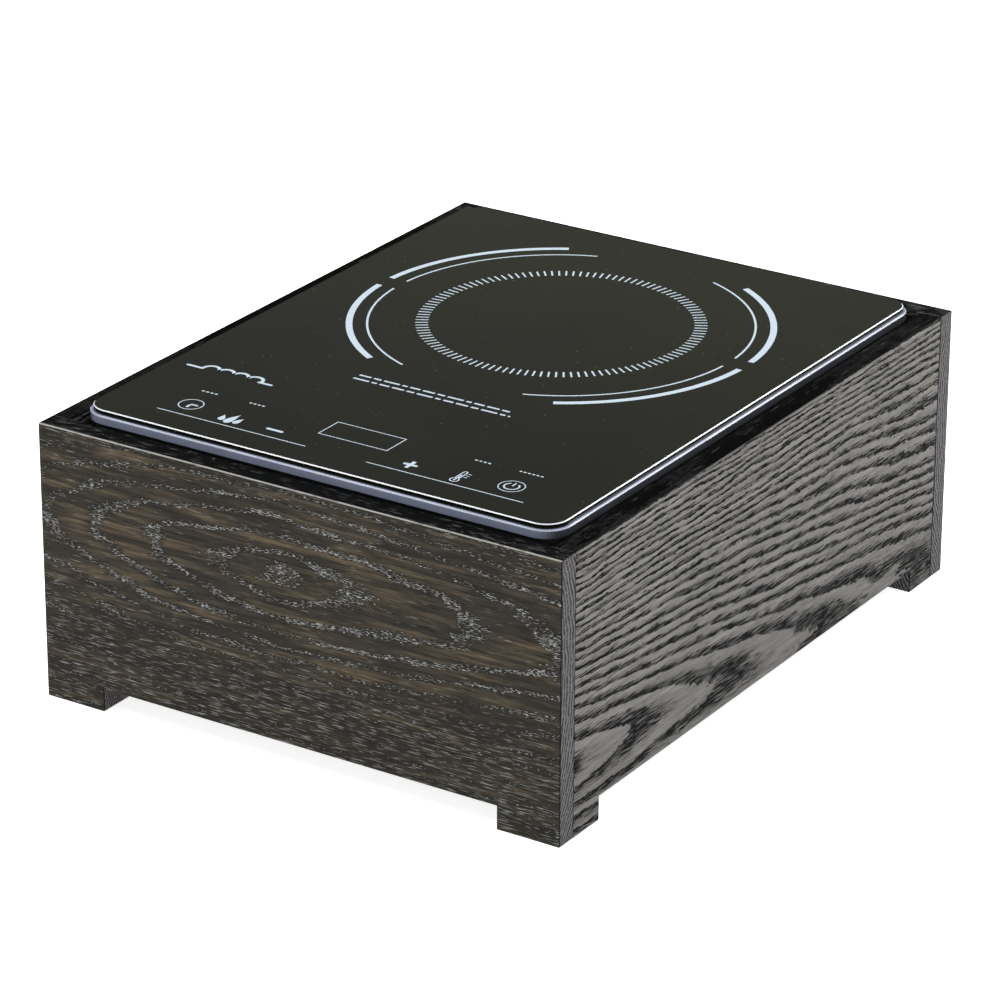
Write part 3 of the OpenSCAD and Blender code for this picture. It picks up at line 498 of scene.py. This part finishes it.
def ribbed(name, color, valley, axis, pitch, rough):
    """A surface with fine parallel ribs across one axis, such as a flat cable or a wrapped winding."""
    sh = Shader(name)
    place = sh.position()["xyz".index(axis)]
    x, y, z = sh.position()
    rib = sh.math("ABSOLUTE", sh.sub(sh.math("FRACT", sh.times(place, 1 / pitch)), 0.5))
    slow = sh.noise(sh.stretched(x, y, z, 6, 6, 6), 2.0)
    line = sh.step(rib, 0.32, 0.48)
    base = sh.mix(sh.step(slow, 0.35, 0.65), rgb(*color), dimmed(color, 0.88))
    sh.set(Base_Color=sh.mix(line, base, rgb(*valley)))
    # Painted shade: the valleys between ribs take the darker valley colour.
    sh.set(Roughness=sh.step(slow, 0.3, 0.7, rough - 0.05, rough + 0.05))
    sh.bump(sh.sub(1.0, line), 0.08)
    return sh.material


def layered(name, color, accent, rough):
    """Pressed mica: overlapping thin flakes with a silky gleam."""
    sh = Shader(name)
    x, y, z = sh.position()
    distance, chance, tone = sh.cells(sh.stretched(x, y, z, 5, 4, 4))
    fine = sh.noise(sh.stretched(x, y, z, 1.5, 1.5, 1.5), 3.0)
    blend = sh.math("MULTIPLY_ADD", tone, 0.6, sh.times(fine, 0.4))
    sh.set(Base_Color=sh.mix(blend, rgb(*color), rgb(*accent)))
    sh.set(Roughness=sh.step(chance, 0.0, 1.0, rough - 0.12, rough + 0.12), Sheen_Weight=0.2)
    sh.bump(chance, 0.04)
    return sh.material


def inner_oak():
    """Plain sawn oak of the posts and rails, stained thinner than the boards."""
    sh = Shader("inner_oak")
    x, y, z = sh.position()
    warp = sh.sub(sh.noise(sh.stretched(x, y, z, 60, 60, 60), 2.0), 0.5)
    ring = sh.math("FRACT", sh.times(sh.add(sh.add(x, sh.times(y, 0.35)), sh.times(warp, 12.0)), 1 / 3.6))
    band = sh.times(sh.step(ring, 0.0, 0.12), sh.step(ring, 0.3, 0.55, 1.0, 0.0))
    distance, chance, tone = sh.cells(sh.stretched(x, y, z, 0.8, 3.0, 3.0))
    pore = sh.times(sh.step(distance, 0.2, 0.45, 1.0, 0.0), band)
    fine = sh.noise(sh.stretched(x, y, z, 0.6, 8, 8), 3.0)
    base = sh.mix(sh.step(fine, 0.3, 0.7), rgb(70, 64, 55), rgb(92, 83, 70))
    base = sh.mix(sh.times(band, 0.4), base, rgb(48, 44, 38))
    sh.set(Base_Color=sh.mix(pore, base, rgb(26, 24, 22)), Specular_IOR_Level=0.25)
    sh.set(Roughness=sh.step(fine, 0.3, 0.7, 0.6, 0.75))
    sh.bump(sh.sub(fine, pore), 0.15)
    return sh.material


def centre_of(*names):
    """The middle of some CAD nodes, in millimetres."""
    corners = [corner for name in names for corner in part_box(name)]
    lows = [min(corner[axis] for corner in corners) for axis in range(3)]
    highs = [max(corner[axis] for corner in corners) for axis in range(3)]
    return [(a + b) / 2 / MM for a, b in zip(lows, highs)]


coil_centre = centre_of("litz_coil")
choke_centre = centre_of("filter_choke")
fan_centre = centre_of("fan_rotor")

slot_materials = {
    "inner_oak": inner_oak(),
    "steel_screw": brushed("zinc_plated_steel", (196, 198, 204), (3.0, 0.3, 0.6)),
    "black_glass": black_glass(),
    "silicone": moulded("silicone", (34, 34, 35), 0.6, 0.02, 0.5),
    # The frame's darker sides are painted shade and its lighter bevel edge a painted highlight.
    "frame_plastic": moulded("frame_plastic", (132, 140, 162), 0.3, 0.012, 0.4, 0.07, edge=(150, 156, 172),
                             sides=(50, 51, 56)),
    "case_plastic": moulded("case_plastic", (42, 42, 44), 0.55, 0.06, 0.6),
    "foot_rubber": moulded("foot_rubber", (30, 30, 31), 0.75, 0.05, 0.5),
    "mica": layered("pressed_mica", (186, 168, 128), (146, 126, 88), 0.42),
    "heat_plastic": moulded("heat_plastic", (206, 203, 190), 0.5, 0.03, 0.5, 0.08),
    "ferrite": moulded("ferrite", (58, 58, 62), 0.62, 0.05, 0.35, 0.3),
    "sheet_aluminium": brushed("sheet_aluminium", (206, 208, 212), (26, 0.35, 0.7), 0.36),
    "red_wire": ribbed("red_silicone_wire", (158, 30, 24), (126, 22, 18), "z", 2.5, 0.45),
    "circuit_board": circuit_board(),
    "black_component": moulded("black_epoxy", (36, 36, 37), 0.45, 0.03, 0.3, 0.25),
    "film_component": moulded("film_capacitor", (196, 184, 146), 0.4, 0.02, 0.4, 0.1),
    "yellow_component": ribbed("yellow_tape", (214, 178, 44), (172, 138, 28), "z", 1.6, 0.4),
    "green_component": moulded("green_terminal", (44, 104, 72), 0.42, 0.02, 0.4, 0.14),
    "display_plastic": moulded("display_plastic", (58, 10, 12), 0.18, 0.004, 0.8, 0.3),
    "led_plastic": moulded("led_epoxy", (206, 52, 38), 0.14, 0.004, 0.8, 0.2),
    "flat_cable": ribbed("flat_cable", (168, 168, 172), (118, 118, 122), "x", 1.27, 0.4),
    "bronze": moulded("sintered_bronze", (176, 130, 70), 0.42, 0.03, 0.25, 0.25, metal=0.9),
    "shaft_steel": brushed("ground_steel", (204, 205, 210), (0.3, 0.3, 5.0), 0.22),
    "fan_plastic": moulded("fan_plastic", (40, 41, 43), 0.4, 0.03, 0.5),
}
winding_materials = {
    "litz_coil": windings("litz_wire", (196, 112, 58), 1.4, coil_centre),
    "filter_choke": windings("choke_wire", (190, 108, 54), 1.1, choke_centre),
    "fan_stator": windings("stator_wire", (192, 110, 56), 0.6, fan_centre),
}

node_slot = {row["node"]: row["material_slot"] for row in frame["record"]["subparts"]}
for name, node in node_objects.items():
    node.data.materials.clear()
    if name in boards:
        node.data.materials.append(oak(name, *boards[name]))
    elif name in winding_materials:
        node.data.materials.append(winding_materials[name])
    else:
        node.data.materials.append(slot_materials[node_slot[name]])


# ---------------------------------------------------------------- eased edges

def ease(name, width):
    """Rounds the sharp edges of a CAD node a little, without moving its faces."""
    node = node_objects[name]
    weld = node.modifiers.new("weld", "WELD")
    weld.merge_threshold = 0.00001
    bevel = node.modifiers.new("eased", "BEVEL")
    bevel.width = width * MM
    bevel.segments = 2
    bevel.limit_method = "ANGLE"
    bevel.angle_limit = math.radians(40)
    bevel.use_clamp_overlap = False


for name in boards:
    ease(name, 0.5)
for name in ("post_front_left", "post_front_right", "post_back_left", "post_back_right"):
    ease(name, 0.4)


# ---------------------------------------------------------------- printed marks

glass_low, glass_high = (Vector(corner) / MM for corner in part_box("glass_top"))
glass_middle = (glass_low + glass_high) / 2
PRINT_SINK = 0.05
PRINT_PROUD = 0.02
ZONE_Y = 52.0
TICKS = 120
TICK_INNER = 71.5
TICK_OUTER = 78.5


def print_piece(name, outlines):
    """One printed mark: a closed thin solid over each outline.

    An outline is a ring of points in millimetres from the middle of the glass.
    """
    mesh = bmesh.new()
    for outline in outlines:
        levels = []
        for height in (-PRINT_SINK, PRINT_PROUD):
            levels.append([mesh.verts.new(((glass_middle.x + px) * MM, (glass_middle.y + py) * MM,
                                           (glass_high.z + height) * MM)) for px, py in outline])
        bottom, top = levels
        mesh.faces.new(top)
        mesh.faces.new(list(reversed(bottom)))
        for index in range(len(outline)):
            following = (index + 1) % len(outline)
            mesh.faces.new((bottom[index], bottom[following], top[following], top[index]))
    bmesh.ops.recalc_face_normals(mesh, faces=mesh.faces)
    data = bpy.data.meshes.new(name)
    mesh.to_mesh(data)
    mesh.free()
    piece = bpy.data.objects.new(name, data)
    bpy.context.scene.collection.objects.link(piece)
    piece.data.materials.append(print_material)
    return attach(piece, "hob")


def arc_points(cx, cy, radius, start, end, count):
    """Points on an arc, angles in degrees."""
    angles = [math.radians(start + (end - start) * index / count) for index in range(count + 1)]
    return [(cx + radius * math.cos(angle), cy + radius * math.sin(angle)) for angle in angles]


def arc_strip(cx, cy, radius, width, start, end, count=48):
    """A curved strip of even width with square ends."""
    outer = arc_points(cx, cy, radius + width / 2, start, end, count)
    inner = arc_points(cx, cy, radius - width / 2, start, end, count)
    return outer + inner[::-1]


def ring_strips(cx, cy, radius, width):
    """A full ring as two half strips that meet."""
    return [arc_strip(cx, cy, radius, width, 0, 180), arc_strip(cx, cy, radius, width, 180, 360)]


def bar(x0, y0, x1, y1, width, rounded=False):
    """A straight strip from one point to another."""
    along = Vector((x1 - x0, y1 - y0)).normalized()
    across = Vector((-along.y, along.x)) * width / 2
    if not rounded:
        return [(x0 + across.x, y0 + across.y), (x0 - across.x, y0 - across.y),
                (x1 - across.x, y1 - across.y), (x1 + across.x, y1 + across.y)]
    heading = math.degrees(math.atan2(along.y, along.x))
    radius = width / 2
    inset = along * radius
    first = arc_points(x0 + inset.x, y0 + inset.y, radius, heading + 90, heading + 270, 12)
    last = arc_points(x1 - inset.x, y1 - inset.y, radius, heading - 90, heading + 90, 12)
    return first + last


print_material = printed()

ticks = []
for index in range(TICKS):
    angle = math.radians(index * 360 / TICKS)
    dx, dy = math.cos(angle), math.sin(angle)
    ticks.append(bar(TICK_INNER * dx, ZONE_Y + TICK_INNER * dy,
                     TICK_OUTER * dx, ZONE_Y + TICK_OUTER * dy, 1.0))
print_piece("print_zone_ticks", ticks)

arcs = []
for start, end in ((3, 60), (-60, -3), (120, 177), (183, 240)):
    arcs.append(arc_strip(0, ZONE_Y, 114.0, 3.6, start, end))
for start, end in ((3.5, 69), (-69, -3.5), (111, 176.5), (183.5, 249)):
    arcs.append(arc_strip(0, ZONE_Y, 104.3, 1.2, start, end))
print_piece("print_zone_arcs", arcs)

line = 0.6
window_x0, window_x1, window_y0, window_y1 = -20.8, 21.0, -146.5, -128.8
rule_y = -164.2
fields = [
    bar(window_x0 - line / 2, window_y0, window_x1 + line / 2, window_y0, line),
    bar(window_x0 - line / 2, window_y1, window_x1 + line / 2, window_y1, line),
    bar(window_x0, window_y0 + line / 2, window_x0, window_y1 - line / 2, line),
    bar(window_x1, window_y0 + line / 2, window_x1, window_y1 - line / 2, line),
    bar(-109.3, rule_y, -16.5, rule_y, 0.7),
    bar(20.4, rule_y, 113.6, rule_y, 0.7),
]
print_piece("print_lines", fields)

minus_y = -155.5
plus_x, plus_y = 41.0, -155.0
arm = 4.3
stroke = 2.1
print_piece("print_minus", [bar(-46.8, minus_y, -36.2, minus_y, stroke, rounded=True)])
print_piece("print_plus", [bar(plus_x - arm, plus_y, plus_x + arm, plus_y, stroke, rounded=True),
                           bar(plus_x, plus_y + stroke / 2, plus_x, plus_y + arm, stroke),
                           bar(plus_x, plus_y - arm, plus_x, plus_y - stroke / 2, stroke)])

power_x, power_y = 98.0, -150.3
power = ring_strips(power_x, power_y, 6.8, 0.55)
power.append(arc_strip(power_x, power_y, 3.9, 0.9, 125, 415, 32))
power.append(bar(power_x, power_y + 0.4, power_x, power_y + 4.6, 0.9, rounded=True))
print_piece("print_power", power)

timer_x, timer_y = -97.5, -150.7
timer = ring_strips(timer_x, timer_y, 6.6, 0.6)
timer.append(bar(timer_x - 0.3, timer_y, timer_x + 4.4, timer_y, 1.5, rounded=True))
timer.append(bar(timer_x, timer_y - 4.2, timer_x, timer_y - 0.95, 1.5))
print_piece("print_timer", timer)

stem_x, bulb_y = 69.6, -158.7
thermometer = [
    arc_strip(stem_x, bulb_y, 2.3, 0.7, 120, 420, 32),
    bar(stem_x - 1.15, bulb_y + 1.9, stem_x - 1.15, bulb_y + 10.2, 0.7),
    bar(stem_x + 1.15, bulb_y + 1.9, stem_x + 1.15, bulb_y + 10.2, 0.7),
    arc_strip(stem_x, bulb_y + 10.2, 1.15, 0.7, 0, 180, 16),
    bar(stem_x, bulb_y - 0.9, stem_x, bulb_y + 7.0, 0.9, rounded=True),
]
for mark in (9.4, 7.2, 5.0):
    thermometer.append(bar(stem_x + 2.4, bulb_y + mark, stem_x + 4.2, bulb_y + mark, 0.6))
print_piece("print_thermometer", thermometer)


def lobe(cx, cy, length, width, lean):
    """One tongue of flame: a drop with a leaning tip."""
    points = []
    for index in range(33):
        turn = 2 * math.pi * index / 32
        reach = (1 - math.cos(turn)) / 2
        side = math.sin(turn) * math.sin(turn / 2) ** 1.6
        points.append((cx + side * width / 2 + lean * (1 - reach) ** 2, cy + length * (1 - reach)))
    return points[:-1]


print_piece("print_flames", [lobe(-73.4, -159.6, 7.2, 5.4, -1.2), lobe(-68.9, -161.2, 12.4, 6.6, 1.6),
                             lobe(-64.3, -159.8, 7.6, 5.2, 1.4)])

dashes = []
for cx, cy, wide in ((-98.4, -132.5, 11.0), (-68.4, -132.4, 10.4),
                     (69.8, -132.0, 10.4), (98.4, -131.9, 15.0)):
    count = round(wide / 2.6)
    pitch = wide / count
    for index in range(count):
        left = cx - wide / 2 + pitch * index
        dashes.append(bar(left, cy, left + pitch * 0.62, cy, 1.1))
print_piece("print_dashes", dashes)

loops = []
loop_r = 5.6
loop_w = 1.9
loop_step = 2 * loop_r - loop_w
lead = 9.4
mark_x, mark_y = -132.5, -106.0
for index in range(4):
    middle = mark_x + lead + loop_r + index * loop_step
    loops.append(arc_strip(middle, mark_y, loop_r - loop_w / 2, loop_w, 0, 180, 24))
foot_y = mark_y - loop_w / 2
last = mark_x + lead + 4 * loop_step + loop_w / 2
loops.append(bar(mark_x, foot_y, mark_x + lead + loop_w, foot_y, loop_w, rounded=True))
loops.append(bar(last - loop_w, foot_y, last + 7.6, foot_y, loop_w, rounded=True))
print_piece("print_coil_mark", loops)

rules = []
rule_lengths = (7.4, 4.6, 9.8, 3.2, 6.2)
rule_gap = 1.7
for row, (start, stop) in enumerate(((-48.0, 46.8), (-48.4, 48.6))):
    y = -69.6 - row * 5.2
    cursor = start
    index = 0
    while cursor < stop:
        length = rule_lengths[(index + 2 * row) % len(rule_lengths)]
        end = min(cursor + length, stop)
        rules.append(bar(cursor, y, end, y, 1.5))
        cursor = end + rule_gap
        index += 1
print_piece("print_rules", rules)


# ---------------------------------------------------------------- floor, light and camera

def plain_floor():
    """A large pale floor, lit from within so that it stays near white."""
    mesh = bmesh.new()
    bmesh.ops.create_circle(mesh, cap_ends=True, segments=96, radius=9.0)
    data = bpy.data.meshes.new("floor")
    mesh.to_mesh(data)
    mesh.free()
    floor = bpy.data.objects.new("floor", data)
    bpy.context.scene.collection.objects.link(floor)
    sh = Shader("pale_floor")
    sh.set(Base_Color=(0.8, 0.8, 0.8), Roughness=0.9, Specular_IOR_Level=0.0)
    sh.set(Emission_Color=(1.0, 1.0, 1.0), Emission_Strength=0.82)
    data.materials.append(sh.material)
    floor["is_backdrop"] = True


plain_floor()


def softbox(name, direction, distance, size, power, mirrored=True):
    """A soft light in a direction from the object, facing it, with or without its own reflection."""
    lamp = bpy.data.lights.new(name, "AREA")
    lamp.shape = "RECTANGLE"
    lamp.size, lamp.size_y = size
    lamp.energy = power
    light = bpy.data.objects.new(name, lamp)
    heading = Vector(direction).normalized()
    light.location = heading * distance + Vector((0, 0, 0.08))
    light.rotation_euler = heading.to_track_quat("Z", "Y").to_euler()
    light.visible_glossy = mirrored
    bpy.context.scene.collection.objects.link(light)


softbox("overhead", (0.0, 0.1, 1.0), 2.6, (2.4, 2.4), 60.0, mirrored=False)
softbox("front_left", (-0.5, -0.39, 0.76), 2.4, (1.2, 0.7), 16.0)
softbox("back_right", (0.39, 0.77, 0.49), 2.4, (1.3, 0.6), 26.0)
softbox("right", (0.95, 0.1, 0.3), 2.6, (1.6, 1.0), 12.0)


def studio_world():
    """An even sky, dimmer towards the back left, where the glass mirrors it."""
    world = bpy.data.worlds.new("studio")
    bpy.context.scene.world = world
    world.use_nodes = True
    tree = world.node_tree
    tree.nodes.clear()
    sky = tree.nodes.new("ShaderNodeTexCoord")
    dark_side = tree.nodes.new("ShaderNodeVectorMath")
    dark_side.operation = "DOT_PRODUCT"
    dark_side.inputs[1].default_value = Vector((-0.5, 0.77, 0.4)).normalized()
    shade = tree.nodes.new("ShaderNodeMapRange")
    shade.interpolation_type = "SMOOTHSTEP"
    for key, number in (("From Min", 0.3), ("From Max", 0.9), ("To Min", 0.75), ("To Max", 0.21)):
        shade.inputs[key].default_value = number
    background = tree.nodes.new("ShaderNodeBackground")
    output = tree.nodes.new("ShaderNodeOutputWorld")
    tree.links.new(sky.outputs["Generated"], dark_side.inputs[0])
    tree.links.new(dark_side.outputs["Value"], shade.inputs["Value"])
    tree.links.new(shade.outputs["Result"], background.inputs["Strength"])
    tree.links.new(background.outputs[0], output.inputs[0])


def photo_camera(azimuth, elevation, roll, aim, reach):
    """A long lens that looks at aim from reach metres away; degrees, azimuth counted from the front."""
    turned, raised = math.radians(azimuth), math.radians(elevation)
    back = Vector((math.sin(turned) * math.cos(raised), -math.cos(turned) * math.cos(raised),
                   math.sin(raised)))
    lens = bpy.data.cameras.new("camera")
    lens.sensor_width = 36.0
    lens.lens = 169.94
    lens.clip_end = 100.0
    camera = bpy.data.objects.new("camera", lens)
    turn = back.to_track_quat("Z", "Y").to_matrix() @ Matrix.Rotation(math.radians(roll), 3, "Z")
    camera.matrix_world = Matrix.Translation(aim + back * reach) @ turn.to_4x4()
    bpy.context.scene.collection.objects.link(camera)
    bpy.context.scene.camera = camera


studio_world()
bpy.context.scene.view_settings.view_transform = "Standard"
photo_camera(32.695, 23.400, 0.235, Vector((-0.0030, -0.0036, 0.0776)), 2.5275)

bpy.context.view_layer.update()
